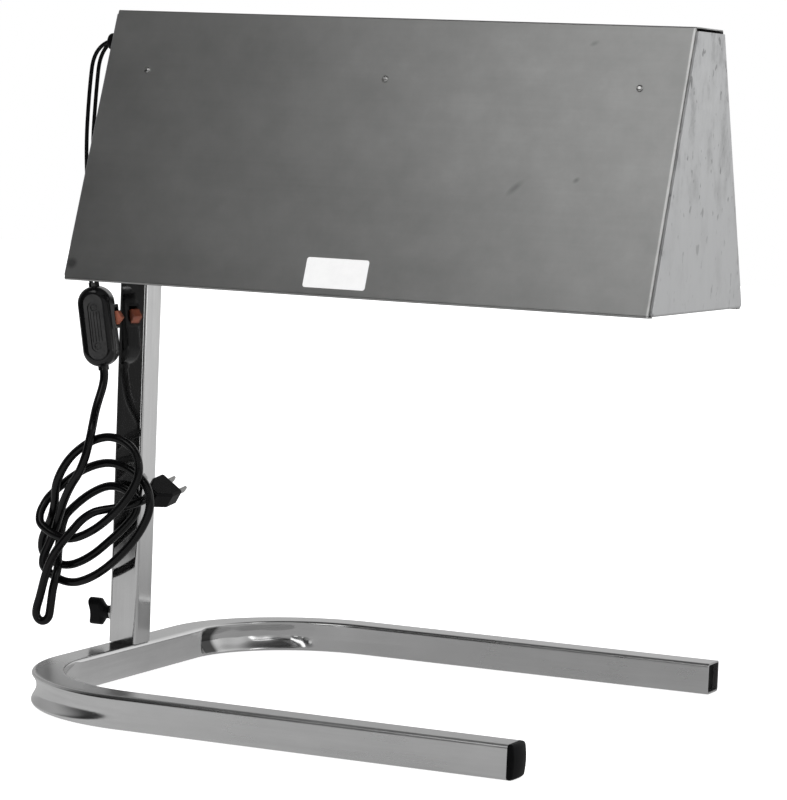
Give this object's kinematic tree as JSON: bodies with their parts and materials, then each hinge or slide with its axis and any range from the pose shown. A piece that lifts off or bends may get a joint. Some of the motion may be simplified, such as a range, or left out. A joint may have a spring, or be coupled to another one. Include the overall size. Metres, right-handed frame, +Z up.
{
  "type": "heat lamp food warmer",
  "caption": "Tabletop heat lamp food warmer: a tapered sheet-metal hood over reflector lamps, on a square post that slides and clamps in a U-shaped tube base, with a switched cord.",
  "frame": {"origin": "on the floor under the post's axis, in the middle of the crossbar's flat underside", "axes": "+X along the legs and the hood, +Y to the rear, +Z up"},
  "size_m": [0.5454, 0.444, 0.5305],
  "materials": {
    "polished_tube": "polished plating",
    "inner_tube": "polished plating",
    "black_plug": "moulded, satin",
    "zinc_steel": "zinc plated",
    "brass": "bare",
    "black_knob": "moulded, satin",
    "hood_steel": "brushed sheet",
    "channel_steel": "bare sheet",
    "white_label": "satin film",
    "porcelain": "white glaze",
    "lamp_metal": "bare",
    "lamp_glass": "clear, silvered behind the face",
    "black_rubber": "slightly glossy",
    "lead_insulation": "satin",
    "black_switch": "moulded, half gloss",
    "orange_rocker": "moulded, half gloss"
  },
  "bodies": {
    "base": {"base_frame": "polished_tube", "leg_cap_front": "black_plug", "leg_cap_rear": "black_plug", "post_stub": "inner_tube"},
    "head": {"blank_label": "white_label", "bracket_nuts": "zinc_steel", "bracket_screws": "zinc_steel", "clamp_boss": "zinc_steel", "cord_hank": "black_rubber", "hood_end_left": "hood_steel", "hood_end_right": "hood_steel", "hood_screws": "hood_steel", "hood_shell": "hood_steel", "lamp_base_left": "lamp_metal", "lamp_base_right": "lamp_metal", "lamp_channel": "channel_steel", "lamp_glass_left": "lamp_glass", "lamp_glass_right": "lamp_glass", "lampholder_left": "porcelain", "lampholder_nuts": "zinc_steel", "lampholder_right": "porcelain", "lampholder_screws": "zinc_steel", "lead_bushing": "black_rubber", "line_lead": "lead_insulation", "neutral_lead": "lead_insulation", "plug_blades": "brass", "plug_body": "black_rubber", "post_bolts": "zinc_steel", "post_bracket": "zinc_steel", "post_nuts": "zinc_steel", "post_tube": "polished_tube", "power_cord": "black_rubber", "socket_contact_left": "brass", "socket_contact_right": "brass", "socket_shell_left": "brass", "socket_shell_right": "brass", "switch_case": "black_switch", "switch_cover": "black_switch", "switch_lead_inner": "black_rubber", "switch_lead_outer": "black_rubber", "switch_screws": "zinc_steel", "terminal_screws": "brass"},
    "clamp_pad": {"clamp_pad": "brass"},
    "clamp_knob": {"clamp_knob": "black_knob", "clamp_screw": "zinc_steel"},
    "switch_rocker": {"switch_rocker": "orange_rocker"}
  },
  "joints": [
    {"name": "post_slide", "type": "slide", "parent": "base", "child": "head", "axis": [0, 0, 1], "range_m": [0, 0.12]},
    {"name": "clamp_travel", "type": "slide", "parent": "head", "child": "clamp_pad", "axis": [-1, 0, 0], "range_m": [0, 0.002]},
    {"name": "clamp_turn", "type": "hinge", "parent": "clamp_pad", "child": "clamp_knob", "pos_m": [-0.03, 0, 0.0474], "axis": [-1, 0, 0], "range_deg": [0, 720]},
    {"name": "rocker_tilt", "type": "hinge", "parent": "head", "child": "switch_rocker", "pos_m": [-0.01276, -0.02795, 0.28839], "axis": [0.2588, -0.9659, 0], "range_deg": [0, 16]}
  ],
  "couplings": [
    {"joint": "clamp_turn", "follows": "clamp_travel", "rad_per_m": 6283.2}
  ]
}
